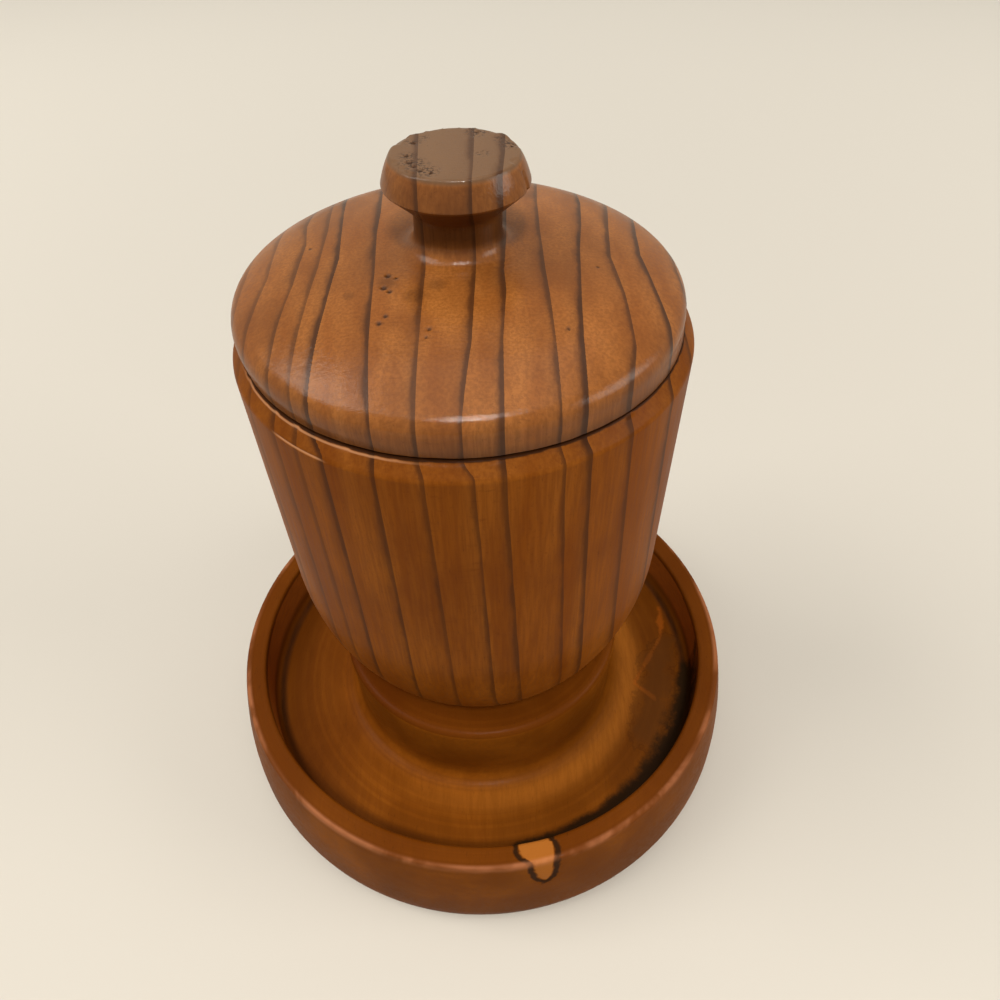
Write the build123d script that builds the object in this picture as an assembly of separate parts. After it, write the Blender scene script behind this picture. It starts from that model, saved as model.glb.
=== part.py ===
# Turned wooden jar on a dish-shaped base, with a lift-off lid.
# Millimetres. The origin is the centre of the underside, +Z is the turning axis,
# and every piece is a body of revolution about it.

import os
from math import sqrt

from build123d import *

# Dish base: outside
dish_radius = 78.4
dish_height = 31.0
belly_height = 6.5
foot_inset = 1.8
rim_inset = 3.2
rim_width = 6.0
side_bow = 0.7
foot_bow = 0.4
rim_round = 0.9
underside_hollow_radius = 58.0
underside_hollow_depth = 1.5

# Dish base: moat and pedestal
floor_thickness = 14.0
moat_corner_radius = 3.5
pedestal_radius = 42.7
pedestal_rise = 27.0
pedestal_undercut = 1.2
pedestal_cove = 6.0
pedestal_edge_round = 2.5

# Jar
jar_radius = 49.9
jar_height = 111.1
jar_taper = 0.7
bowl_height = 47.0
jar_foot_radius = 31.3
jar_wall = 7.4
jar_floor_thickness = 11.6
jar_floor_corner = 5.0
rim_bevel_width = 2.6
rim_bevel_height = 2.9
rim_bevel_round = 2.0

# Tenon under the jar, and its socket in the pedestal
tenon_radius = 18.0
tenon_length = 6.0
socket_side_clearance = 0.1
socket_end_clearance = 0.4

# Lid
lid_overlap_inset = 0.1
lid_lean = 0.4
lid_edge_height = 7.0
lid_shoulder_round = 5.0
dome_turn_radius = 36.5
dome_turn_rise = 5.6
dome_rise = 8.9
dome_side_bow = 0.5
dome_top_bow = 0.85
spigot_depth = 6.0
spigot_wall = 5.0
spigot_side_clearance = 0.5
spigot_corner = 1.0
lid_roof_thickness = 7.5
lid_roof_spring = 3.5

# Knob
neck_radius = 8.8
neck_height = 8.0
neck_cove = 4.4
knob_radius = 14.4
knob_low_height = 5.2
knob_low_cove = 2.5
knob_top_radius = 12.2
knob_top_height = 5.4
knob_side_bow = 0.2
knob_belt_round = 0.4
knob_top_round = 0.8

# Wood screw that pulls the jar down on the pedestal
screw_radius = 2.2
screw_recess = 0.5
screw_point_length = 5.0
screw_bite = 12.0
screw_head_radius = 4.7
screw_head_cone = 2.9
screw_head_rim = 0.4
screw_slot_width = 1.3
screw_slot_depth = 1.2
screw_hole_clearance = 0.4
screw_pilot_clearance = 0.05
screw_tip_clearance = 1.0

# Heights of the faces that meet, all from the surface the dish stands on
moat_floor_z = floor_thickness
seat_z = moat_floor_z + pedestal_rise
mouth_z = seat_z + jar_height
tenon_end_z = seat_z - tenon_length
jar_floor_z = seat_z + jar_floor_thickness
bowl_top_z = seat_z + bowl_height
screw_tip_z = tenon_end_z + screw_bite
screw_head_z = underside_hollow_depth + screw_recess

# Radii that pieces share
rim_outer_radius = dish_radius - rim_inset
rim_inner_radius = rim_outer_radius - rim_width
jar_side_radius = jar_radius - jar_taper
mouth_outer_radius = jar_radius - rim_bevel_width
mouth_radius = jar_radius - jar_wall
lid_radius = mouth_outer_radius - lid_overlap_inset
spigot_radius = mouth_radius - spigot_side_clearance


def turned(*edges):
    """A solid of revolution from the edges of half its section, drawn in X and Z."""
    section = make_face(Plane.XZ * Wire(list(edges)))
    return revolve(section, Axis.Z)


def bowed(start, end, bow):
    """A slight arc that bows outwards, to the right of the way from start to end."""
    return SagittaArc(start, end, -bow)


def polygon_turned(*points):
    """A solid of revolution whose half section has only straight sides."""
    section = make_face(Plane.XZ * Polyline(*points, close=True))
    return revolve(section, Axis.Z)


def drilled_bore(radius, z_low, z_high):
    """A cylinder on the axis between two heights."""
    return Pos(0, 0, z_low) * Cylinder(
        radius, z_high - z_low, align=(Align.CENTER, Align.CENTER, Align.MIN)
    )


def circle_at(solid, radius, height):
    """The circular edge of a turned solid nearest to a radius and a height."""
    def miss(edge):
        return abs(edge.radius - radius) + abs(edge.center().Z - height)

    circles = solid.edges().filter_by(GeomType.CIRCLE)
    level = [edge for edge in circles if abs(edge.bounding_box().size.Z) < 0.001]
    return min(level, key=miss)


def base_dish():
    """Dish with a raised rim, a moat and a pedestal that carries the jar."""
    foot = (dish_radius - foot_inset, 0)
    belly = (dish_radius, belly_height)
    rim_out = (rim_outer_radius, dish_height)
    rim_in = (rim_inner_radius, dish_height)
    moat_out = (rim_inner_radius, moat_floor_z)
    moat_in = (pedestal_radius - pedestal_undercut, moat_floor_z)
    ledge = (pedestal_radius, seat_z)
    dish = turned(
        Line((0, 0), foot),
        bowed(foot, belly, foot_bow),
        bowed(belly, rim_out, side_bow),
        Line(rim_out, rim_in),
        Line(rim_in, moat_out),
        Line(moat_out, moat_in),
        Line(moat_in, ledge),
        Line(ledge, (0, seat_z)),
        Line((0, seat_z), (0, 0)),
    )
    dish = fillet(circle_at(dish, *moat_out), moat_corner_radius)
    dish = fillet(circle_at(dish, *moat_in), pedestal_cove)
    dish = fillet(circle_at(dish, *ledge), pedestal_edge_round)
    rims = [circle_at(dish, *rim_out), circle_at(dish, *rim_in)]
    dish = fillet(rims, rim_round)
    dish -= drilled_bore(underside_hollow_radius, 0, underside_hollow_depth)
    dish -= drilled_bore(
        tenon_radius + socket_side_clearance, tenon_end_z - socket_end_clearance, seat_z
    )
    dish -= drilled_bore(screw_head_radius, 0, screw_head_z)
    dish -= drilled_bore(screw_radius + screw_hole_clearance, screw_head_z, seat_z)
    return dish - countersink()


def countersink():
    """Cone under the screw's head, cut in the dish to the head's own shape."""
    cone_top_z = screw_head_z + screw_head_rim + screw_head_cone
    return polygon_turned(
        (0, screw_head_z),
        (screw_head_radius, screw_head_z),
        (screw_head_radius, screw_head_z + screw_head_rim),
        (screw_radius, cone_top_z),
        (0, cone_top_z),
    )


def jar_outside():
    """The jar before it is hollowed, with its bowl-shaped lower end and its tenon."""
    widest = (jar_radius, mouth_z - rim_bevel_height)
    bowl_top = (jar_side_radius, bowl_top_z)
    foot = (jar_foot_radius, seat_z)
    return turned(
        Line((0, tenon_end_z), (tenon_radius, tenon_end_z)),
        Line((tenon_radius, tenon_end_z), (tenon_radius, seat_z)),
        Line((tenon_radius, seat_z), foot),
        ThreePointArc(foot, bowl_arc_point(0, 0.5), bowl_top),
        Line(bowl_top, widest),
        Line(widest, (mouth_outer_radius, mouth_z)),
        Line((mouth_outer_radius, mouth_z), (0, mouth_z)),
        Line((0, mouth_z), (0, tenon_end_z)),
    )


def bowl_arc_point(wall, share, z_end=seat_z):
    """A point inside the bowl's outer arc by a wall, part of the way up to its top."""
    reach = jar_side_radius - jar_foot_radius
    outer = (reach**2 + bowl_height**2) / (2 * reach)
    z = z_end + (bowl_top_z - z_end) * share
    across = sqrt((outer - wall) ** 2 - (bowl_top_z - z) ** 2)
    return (jar_side_radius - outer + across, z)


def jar_hollow():
    """The space inside the jar: straight sides, and a bowl with a flat floor."""
    floor_edge = bowl_arc_point(jar_wall, 0, jar_floor_z)
    middle = bowl_arc_point(jar_wall, 0.5, jar_floor_z)
    bowl_top = bowl_arc_point(jar_wall, 1, jar_floor_z)
    hollow = turned(
        Line((0, jar_floor_z), floor_edge),
        ThreePointArc(floor_edge, middle, bowl_top),
        Line(bowl_top, (mouth_radius, mouth_z)),
        Line((mouth_radius, mouth_z), (0, mouth_z)),
        Line((0, mouth_z), (0, jar_floor_z)),
    )
    return fillet(circle_at(hollow, *floor_edge), jar_floor_corner)


def jar_body():
    """Hollow jar: the lid rests on its mouth and its tenon enters the pedestal."""
    pilot = drilled_bore(
        screw_radius + screw_pilot_clearance, tenon_end_z, screw_tip_z + screw_tip_clearance
    )
    outside = jar_outside()
    widest = circle_at(outside, jar_radius, mouth_z - rim_bevel_height)
    return fillet(widest, rim_bevel_round) - jar_hollow() - pilot


def lid():
    """Domed lid and knob turned as one piece, with a spigot that enters the mouth."""
    edge_low = (lid_radius, mouth_z)
    edge_high = (lid_radius + lid_lean, mouth_z + lid_edge_height)
    dome_turn = (dome_turn_radius, edge_high[1] + dome_turn_rise)
    neck_low_z = edge_high[1] + dome_rise
    neck_high_z = neck_low_z + neck_height
    belt_z = neck_high_z + knob_low_height
    top_z = belt_z + knob_top_height
    spigot_end_z = mouth_z - spigot_depth
    outside = turned(
        Line((0, spigot_end_z), (spigot_radius, spigot_end_z)),
        Line((spigot_radius, spigot_end_z), (spigot_radius, mouth_z)),
        Line((spigot_radius, mouth_z), edge_low),
        Line(edge_low, edge_high),
        bowed(edge_high, dome_turn, dome_side_bow),
        bowed(dome_turn, (neck_radius, neck_low_z), dome_top_bow),
        Line((neck_radius, neck_low_z), (neck_radius, neck_high_z)),
        Line((neck_radius, neck_high_z), (knob_radius, belt_z)),
        bowed((knob_radius, belt_z), (knob_top_radius, top_z), knob_side_bow),
        Line((knob_top_radius, top_z), (0, top_z)),
        Line((0, top_z), (0, spigot_end_z)),
    )
    outside = fillet(circle_at(outside, *edge_high), lid_shoulder_round)
    outside = fillet(circle_at(outside, neck_radius, neck_low_z), neck_cove)
    outside = fillet(circle_at(outside, neck_radius, neck_high_z), knob_low_cove)
    outside = fillet(circle_at(outside, knob_radius, belt_z), knob_belt_round)
    outside = fillet(circle_at(outside, knob_top_radius, top_z), knob_top_round)
    outside = chamfer(circle_at(outside, spigot_radius, spigot_end_z), spigot_corner)
    return outside - lid_hollow(spigot_end_z, neck_low_z)


def lid_hollow(spigot_end_z, dome_top_z):
    """Shallow dome turned into the lid's underside, inside the spigot."""
    radius = spigot_radius - spigot_wall
    spring = (radius, mouth_z + lid_roof_spring)
    crown = (0, dome_top_z - lid_roof_thickness)
    return turned(
        Line((0, spigot_end_z), (radius, spigot_end_z)),
        Line((radius, spigot_end_z), spring),
        TangentArc(crown, spring, tangent=(1, 0)),
        Line(crown, (0, spigot_end_z)),
    )


def fixing_screw():
    """Countersunk wood screw, driven up from below into the jar's tenon."""
    shank_low_z = screw_head_z + screw_head_rim + screw_head_cone
    screw = polygon_turned(
        (0, screw_head_z),
        (screw_head_radius, screw_head_z),
        (screw_head_radius, screw_head_z + screw_head_rim),
        (screw_radius, shank_low_z),
        (screw_radius, screw_tip_z - screw_point_length),
        (0, screw_tip_z),
    )
    slot = Pos(0, 0, screw_head_z) * Box(
        2 * screw_head_radius,
        screw_slot_width,
        screw_slot_depth,
        align=(Align.CENTER, Align.CENTER, Align.MIN),
    )
    return screw - slot


pieces = {
    "base_dish": base_dish(),
    "jar_body": jar_body(),
    "lid": lid(),
    "fixing_screw": fixing_screw(),
}

os.makedirs("parts", exist_ok=True)
for name, piece in pieces.items():
    piece.label = name
    export_step(piece, f"parts/{name}.step")
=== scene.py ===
# Looks of the turned wooden jar on its dish base: varnished wood, light, floor and camera.
# The scene is in metres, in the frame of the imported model. Lengths on the object are written
# in millimetres, and MM turns them into metres.

from math import ceil, cos, hypot, pi, radians, sin

import bpy
import numpy as np
from mathutils import Matrix, Vector


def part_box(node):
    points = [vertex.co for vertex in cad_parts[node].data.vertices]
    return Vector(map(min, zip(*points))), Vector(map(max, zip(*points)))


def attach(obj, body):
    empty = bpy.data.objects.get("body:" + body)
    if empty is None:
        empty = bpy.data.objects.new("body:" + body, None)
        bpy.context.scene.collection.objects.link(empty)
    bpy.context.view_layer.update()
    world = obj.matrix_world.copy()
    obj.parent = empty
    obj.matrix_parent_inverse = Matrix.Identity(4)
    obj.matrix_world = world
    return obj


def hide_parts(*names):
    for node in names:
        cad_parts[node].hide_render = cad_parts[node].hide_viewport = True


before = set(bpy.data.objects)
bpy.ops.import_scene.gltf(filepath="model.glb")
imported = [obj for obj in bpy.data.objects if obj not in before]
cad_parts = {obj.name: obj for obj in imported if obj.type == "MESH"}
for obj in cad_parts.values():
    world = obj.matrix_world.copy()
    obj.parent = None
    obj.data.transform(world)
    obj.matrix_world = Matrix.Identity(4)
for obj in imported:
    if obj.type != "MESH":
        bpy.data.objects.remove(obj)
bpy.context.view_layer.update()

MM = 0.001

# Heights and radii read from the frame, in millimetres
dish_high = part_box("base_dish")[1] / MM
jar_low, jar_high = (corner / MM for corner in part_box("jar_body"))
lid_low, lid_high = (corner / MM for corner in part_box("lid"))
dish_radius = dish_high.x
seat_z = dish_high.z
jar_radius = jar_high.x
tenon_end_z = jar_low.z
mouth_z = jar_high.z
spigot_end_z = lid_low.z
top_z = lid_high.z

# Dish base
dish_height = 31.0
belly_height = 6.5
belly_round = 3.0
foot_radius = dish_radius - 1.8
foot_round = 0.8
foot_bow = 0.4
side_bow = 0.7
rim_outer_radius = dish_radius - 3.2
rim_inner_radius = rim_outer_radius - 6.0
rim_round = 1.1
moat_z = 14.0
moat_corner = 3.5
pedestal_radius = 42.7
pedestal_foot_radius = 41.5
pedestal_cove = 6.0
pedestal_round = 2.5
underside_radius = 58.0
underside_depth = 1.5
socket_radius = 18.1
socket_z = 34.6
screw_head_z = 2.0
screw_head_radius = 4.7
screw_head_rim = 0.4
countersink_top_z = 4.84
screw_hole_radius = 2.6

# Jar
bowl_top_z = seat_z + 47.0
jar_side_radius = jar_radius - 0.7
jar_foot_radius = 31.3
jar_foot_round = 0.3
jar_wall = 7.4
jar_floor_z = seat_z + 11.6
jar_floor_corner = 5.0
mouth_outer_radius = jar_radius - 2.6
mouth_radius = jar_radius - jar_wall
mouth_edge_round = 0.25
widest_z = mouth_z - 2.9
widest_round = 2.0
side_top_radius = jar_radius - 0.04
side_top_z = widest_z - 3.0
tenon_radius = 18.0
pilot_radius = 2.25
pilot_end_z = 48.0

# Lid and knob
lid_radius = mouth_outer_radius - 0.1
lid_seat_radius = lid_radius - 0.3
lid_seat_z = mouth_z + 0.05
lid_foot_z = mouth_z + 0.35
lid_edge_radius = lid_radius + 0.4
lid_edge_z = mouth_z + 7.0
lid_shoulder = 5.0
dome_turn_radius = 36.5
dome_turn_z = lid_edge_z + 5.6
dome_side_bow = 0.5
dome_top_bow = 0.85
dome_turn_round = 45.0
spigot_radius = mouth_radius - 0.5
spigot_corner = 1.0
lid_hollow_radius = 37.0
lid_hollow_spring = mouth_z + 3.5
lid_hollow_crown = mouth_z + 8.4
lid_hollow_bow = 1.2
neck_radius = 8.8
neck_low_z = lid_edge_z + 8.9
neck_high_z = neck_low_z + 8.0
neck_cove = 4.4
knob_low_cove = 2.5
belt_radius = 14.4
belt_z = neck_high_z + 5.2
belt_round = 0.4
knob_side_bow = 0.2
knob_top_radius = 12.2
knob_top_round = 0.8

# Points round each mesh, and the angle above which an edge is shaded as sharp
lid_segments = 480
jar_segments = 400
dish_segments = 400
sharp_angle = radians(38.0)
# Points nearer than this, in mm, are one
same_point = 1e-4

# Out of round: waves round the axis, as (count, phase, height)
lid_wobble = [(2, 0.6, 0.10), (3, 2.1, 0.07), (5, 4.0, 0.04)]
jar_wobble = [(2, 1.9, 0.10), (3, 0.4, 0.06), (6, 3.0, 0.03)]
dish_wobble = [(2, 0.9, 0.22), (3, 2.6, 0.12), (5, 0.2, 0.07)]
rim_waves = [(3, 1.2, 0.10), (4, 0.1, 0.08), (9, 2.2, 0.05)]
mouth_nicks = [(31, 0.5, 0.06), (53, 1.0, 0.06), (17, 2.0, 0.05), (97, 0.2, 0.05)]
nick_depth = 0.9
lid_off_axis = -0.45
knob_off_axis = 0.2

# Gap between the lid's edge and the mouth, higher at one side
seam_gap = 0.14
seam_waves = [(7, 1.0, 0.04), (19, 0.3, 0.04), (43, 2.0, 0.03)]
seam_lift = 0.20
seam_lift_angle = radians(-140.0)
seam_lift_spread = 0.42
seam_top_z = mouth_z + 3.5

# Growth lines from left to right: how dark each is, how far it lies from its place on the
# lid where it meets the jar's front, how far it has moved at the jar's foot, and its course
# over the lid as places across (X) at places from front to back (Y)
growth_lines = [
    (0.30, 0.0, 1.0, [(-47, -46.3), (0, -44.8), (47, -45.3)]),
    (0.45, 0.0, 1.0, [(-30, -41.8), (-18, -40.8), (-5, -38.8), (20, -39.8)]),
    (0.60, -0.4, 1.0, [(-33, -35.1), (-22, -34.2), (-10, -32.6), (5, -32.1), (15, -33.6)]),
    (0.55, -0.3, 1.0, [(-33, -30.3), (-20, -29.2), (-5, -28.1), (10, -28.1), (30, -29.6)]),
    (0.95, 1.5, 1.1, [(-38, -26.8), (-20, -25.2), (-3, -24.1), (10, -25.1), (30, -26.7)]),
    (0.90, -0.2, 0.9, [(-44, -15.2), (-29, -15.9), (-10, -16.3), (6, -17.2), (16, -17.3), (30, -18.2)]),
    (0.70, 0.8, 1.8, [(-46, -7.2), (-28, -6.7), (-9, -6.3), (10, -7.0), (30, -7.9)]),
    (0.80, 2.0, 2.1, [(-46, 0.8), (-42, 1.3), (-31, 2.7), (-16, 3.3), (-5, 3.7), (10, 3.9), (40, 2.4)]),
    (0.85, 0.2, 3.0, [(-45, 8.1), (-30, 8.3), (-17, 9.2), (-10, 8.9), (0, 9.6), (30, 10.3)]),
    (0.75, 0.9, 2.5, [(-43, 18.3), (-20, 17.5), (-10, 17.0), (5, 16.7), (20, 16.8), (40, 17.8)]),
    (1.00, 1.1, 2.5, [(-41, 23.0), (-29, 22.9), (-18, 23.4), (-1, 24.5), (9, 25.7), (22, 26.7)]),
    (0.80, 0.6, 2.9, [(-35, 31.8), (-28, 32.9), (-15, 32.1), (-3, 30.6), (10, 31.6), (25, 33.2)]),
    (0.95, 0.4, 2.9, [(-28, 41.2), (-20, 40.7), (-10, 38.7), (0, 37.2), (10, 37.7), (25, 39.2)]),
    (0.60, 0.0, 2.9, [(-15, 47.2), (0, 45.4), (20, 46.2)]),
]
lines_front_z = 145.0
lines_foot_z = 65.0
# The lines move on past the foot, up to this share of the way to it
lines_past_foot = 1.3
narrowest_ring = 0.4
# Share of a ring at each side of a line that takes the line's own darkness
line_reach = 0.4
# Share of their darkness that the lines lose below the mouth, and how far down they lose it
jar_line_loss = 0.35
jar_line_depth = 4.0

# Pits in the lid: place from above (X, Y), radius and depth
lid_pits = [
    (-13.6, -11.2, 0.75, 0.30),
    (-14.1, -15.0, 0.80, 0.34),
    (-12.9, -16.3, 0.60, 0.26),
    (-13.2, -23.4, 0.55, 0.22),
    (-14.3, -25.2, 0.60, 0.24),
    (-11.9, -12.2, 0.40, 0.16),
    (-5.0, -27.6, 0.45, 0.18),
    (-5.4, -29.6, 0.35, 0.14),
    (20.2, -27.0, 0.45, 0.14),
    (27.5, -7.5, 0.40, 0.14),
    (-31.0, 3.0, 0.40, 0.14),
]
# Smudges there: place, radius and strength
lid_smudges = [
    (-8.0, -18.0, 2.6, 0.5),
    (-4.0, -15.0, 2.2, 0.5),
    (-20.7, -16.4, 1.6, 0.45),
    (-13.6, -13.5, 2.4, 0.55),
    (14.0, 24.0, 3.0, 0.4),
]

# Pits in the knob's worn top: place from above (X, Y), radius and depth
knob_pits = [
    (-8.6, -1.6, 0.55, 0.22),
    (-8.0, -4.4, 0.70, 0.30),
    (-7.0, -6.2, 0.50, 0.24),
    (-5.8, -7.8, 0.65, 0.30),
    (-3.9, -9.0, 0.45, 0.22),
    (-7.7, 4.0, 0.55, 0.22),
    (4.4, 8.6, 0.55, 0.22),
    (10.4, 3.8, 0.60, 0.26),
    (10.9, 1.6, 0.45, 0.22),
]
# Finely pitted patches there: place, radius and strength
pitted_patches = [
    (-8.4, -1.6, 2.2, 0.9),
    (-7.2, -5.0, 3.4, 1.0),
    (-4.6, -8.2, 2.8, 1.0),
    (-7.8, 4.4, 2.0, 0.9),
    (-5.8, 6.4, 1.6, 0.6),
    (4.4, 8.6, 2.8, 1.0),
    (5.4, -1.2, 1.6, 0.8),
    (9.0, 5.2, 2.0, 0.8),
    (10.6, 2.6, 2.6, 1.0),
]
# Worn places on the edge of the knob's top: angle in degrees, length along the edge,
# width towards the middle and depth
knob_wear = [
    (215.0, 6.0, 1.6, 0.30),
    (150.0, 3.4, 1.4, 0.30),
    (100.0, 9.0, 1.8, 0.45),
    (58.0, 4.0, 1.8, 0.40),
    (20.0, 3.6, 1.8, 0.40),
    (338.0, 1.6, 1.0, 0.20),
]
# Notch in the knob's widest edge
notch_angle = radians(-20.0)
notch_half = 0.9
notch_depth = 0.45

# Long thin scratch on the jar's widest edge
scratch_x = -30.5
scratch_z = widest_z - 0.3
scratch_depth = 0.20

# Tongue-shaped knot in the dish's rim: its middle as an angle, and its left and right sides
# at distances over the rim, from the inner edge outwards and down the side
knot_angle = radians(-78.5)
knot_sides = [
    (-6.0, -4.0, 3.5),
    (0.0, -5.3, 4.9),
    (2.2, -5.3, 5.4),
    (4.2, -4.3, 5.3),
    (6.3, -1.9, 4.4),
    (10.2, -1.9, 4.1),
    (13.8, -1.2, 3.7),
    (16.0, 0.0, 2.8),
    (17.2, 1.3, 1.5),
]
knot_groove_side = 0.35
knot_groove_top = 0.4
far_from_knot = 20.0

# Stains in the moat, as courses of place (X, Y) and half width; the grey course also paints shade over the
# right of the moat
stains = {
    "smear": [
        (67.5, -6, 2),
        (66, -16, 3.5),
        (62.5, -26, 4.5),
        (56, -36, 4),
        (47, -46, 3.2),
        (35, -54.5, 2.4),
        (20, -61, 1.8),
        (6, -64, 1),
    ],
    "grey_and_shade": [(63, 5, 4), (59, -3, 6.5), (57, -14, 7), (52, -30, 6)],
    "rust": [(63, 19, 1.5), (62.5, 12, 2.2), (61, 6, 1.2), (50, -11, 1.2), (56, -17, 1.6)],
}
no_stain = -2.0

# Camera, fitted to the photograph's frame
camera_place = (0.00698, -0.1496, 0.2494)
camera_lens = 28.8
camera_sensor = 36.0
camera_pitch = radians(46.39)
camera_roll = radians(-1.47)
camera_near = 0.01

# Light: name, azimuth from the front, elevation, distance, width, height and watts
lamps = [
    ("key", 4.0, 58.0, 1.1, 0.16, 0.12, 6.6),
    ("right", 78.0, 20.0, 2.1, 1.20, 0.90, 17.0),
    ("left", -88.0, 46.0, 2.1, 1.30, 1.00, 22.0),
]
lamp_base_height = 0.15
lamp_target = Vector((0, 0, 0.12))
top_place = (0.0, -0.05, 2.1)
top_size = 2.2
top_watts = 17.0
world_light = 0.28
floor_radius = 4.0
floor_segments = 96
floor_near_edge = 0.1
floor_far_edge = 0.9


def tone(red, green, blue):
    """A colour written as 0 to 255 on screen, as Blender's linear colour."""
    def linear(value):
        value /= 255
        return value / 12.92 if value <= 0.04045 else ((value + 0.055) / 1.055) ** 2.4

    return (linear(red), linear(green), linear(blue), 1.0)


backdrop_colour = tone(226, 216, 198)
floor_colour = tone(204, 199, 189)
far_floor_colour = tone(226, 221, 210)
bounce_colour = tone(138, 126, 104)
lamp_colour = (1.0, 0.955, 0.89)
world_colour = (1.0, 0.97, 0.93, 1.0)
# Pale, middle and deep tones of each piece's wood
lid_tones = (tone(155, 96, 43), tone(134, 77, 29), tone(98, 53, 18))
jar_tones = (tone(152, 88, 27), tone(130, 69, 14), tone(104, 50, 9))
dish_tones = (tone(138, 77, 17), tone(117, 62, 10), tone(92, 47, 6))
# Marks in the wood of the lid and jar; dark_brown also paints shade in the gap under the lid, under the knob
# and at the foot of the moat's wall
band_brown = tone(76, 44, 22)
line_brown = tone(56, 31, 16)
dark_brown = tone(40, 20, 8)
bare_wood = tone(200, 146, 104)
handled_wood = tone(100, 77, 56)
# Marks in the wood of the dish, among them a painted highlight on the cove at the pedestal's foot, painted
# shade on the ledge, in the left of the moat and at the foot of its wall, and a painted highlight on the
# rubbed outer edge of the rim
cove_highlight_gold = tone(186, 112, 38)
shade_and_rim_brown = tone(86, 38, 4)
wall_gold = tone(178, 102, 38)
rust_brown = tone(176, 90, 22)
grey_brown = tone(86, 50, 18)
smear_brown = tone(38, 24, 8)
knot_orange = tone(168, 101, 38)
knot_edge_brown = tone(36, 22, 10)
rubbed_highlight_wood = tone(196, 128, 88)
dull_steel = tone(150, 150, 148)
bright_steel = tone(196, 195, 190)

# Wood under the varnish, and the weight, roughness and index of each piece's clear coat
wood_index = 1.2
wood_specular = 0.1
smooth_wood = 0.42
rough_wood = 0.55
lid_coat = (0.40, 0.12, 1.5)
jar_coat = (0.10, 0.22, 1.3)
dish_coat = (0.07, 0.24, 1.3)


def smooth(value, low, high):
    """0 below low, 1 above high, and a smooth step between."""
    share = np.clip((value - low) / (high - low), 0, 1)
    return share * share * (3 - 2 * share)


def waves(angle, parts):
    """A wavy number round the axis from (count, phase, height) parts."""
    return sum(height * np.cos(count * angle + phase) for count, phase, height in parts)


def polar(points):
    """Radius and angle of points round the axis."""
    return np.hypot(points[:, 0], points[:, 1]), np.arctan2(points[:, 1], points[:, 0])


def moved_out(points, amount):
    """Points moved away from the axis by an amount."""
    _, angle = polar(points)
    points = points.copy()
    points[:, 0] += amount * np.cos(angle)
    points[:, 1] += amount * np.sin(angle)
    return points


def run(start, end, bow, spacing):
    """Points from start to end, bowed to the right of the way when bow isn't 0."""
    start, end = np.array(start, float), np.array(end, float)
    way = end - start
    length = hypot(*way)
    right = np.array([way[1], -way[0]]) / length
    share = np.linspace(0, 1, max(2, ceil(length / spacing) + 1))[:, None]
    return start + way * share + right * 4 * bow * share * (1 - share)


def cut_back(points, distance):
    """A run of points without its first stretch of the given length."""
    steps = np.hypot(*np.diff(points, axis=0).T)
    along = np.concatenate([[0], np.cumsum(steps)])
    distance = min(distance, along[-1] * 0.49)
    first = np.array([np.interp(distance, along, points[:, axis]) for axis in (0, 1)])
    return np.vstack([first, points[along > distance + 0.02]])


class Section:
    """A section that goes on from point to point, as radius and height in mm."""

    corner_points = 9

    def __init__(self, radius, height):
        self.end = (radius, height)
        self.runs = []
        self.rounds = []

    def to(self, radius, height, corner=0.0, bow=0.0, spacing=0.6):
        """Goes on to a point, bowed on the way, with a round on the corner there."""
        self.along(run(self.end, (radius, height), bow, spacing), corner)
        self.end = (radius, height)

    def along(self, points, corner=0.0):
        """Goes on along points, with a round on the corner at their end."""
        self.runs.append(points)
        self.rounds.append(corner)
        self.end = points[-1]

    def rounded(self, place):
        """Cuts the runs back at the corner after a run, and gives the points of its round."""
        before, after = self.runs[place], self.runs[place + 1]
        corner = before[-1]
        way_in = (corner - before[-2]) / hypot(*(corner - before[-2]))
        way_out = (after[1] - corner) / hypot(*(after[1] - corner))
        turn = np.arccos(np.clip(way_in @ way_out, -1, 1))
        setback = self.rounds[place] * np.tan(turn / 2)
        before = self.runs[place] = cut_back(before[::-1], setback)[::-1]
        after = self.runs[place + 1] = cut_back(after, setback)
        share = np.linspace(0, 1, self.corner_points)[:, None]
        round_points = (1 - share) ** 2 * before[-1] + 2 * share * (1 - share) * corner
        return (round_points + share**2 * after[0])[1:-1]

    def points(self):
        """All points of the section, with its corners rounded."""
        corners = {place: self.rounded(place) for place, corner in enumerate(self.rounds) if corner}
        pieces = []
        for place, one in enumerate(self.runs):
            pieces.append(one)
            if place in corners:
                pieces.append(corners[place])
        points = np.vstack(pieces)
        keep = np.ones(len(points), bool)
        keep[1:] = np.hypot(*np.diff(points, axis=0).T) > same_point
        return points[keep]


def lathe_faces(count, segments, closed):
    """Faces between so many rings of points, closed as a loop or by a pole at each end."""
    around = np.arange(segments)
    following = (around + 1) % segments
    first = np.arange(count if closed else count - 1)[:, None] * segments
    low, low_next = first + around, first + following
    up, up_next = (low + segments) % (count * segments), (low_next + segments) % (count * segments)
    faces = np.stack([low, low_next, up_next, up], axis=-1).reshape(-1, 4).tolist()
    if not closed:
        first_pole = count * segments
        last_pole = first_pole + 1
        last_ring = (count - 1) * segments
        for here, there in zip(around.tolist(), following.tolist()):
            faces.append((first_pole, there, here))
            faces.append((last_ring + here, last_ring + there, last_pole))
    return faces


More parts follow.
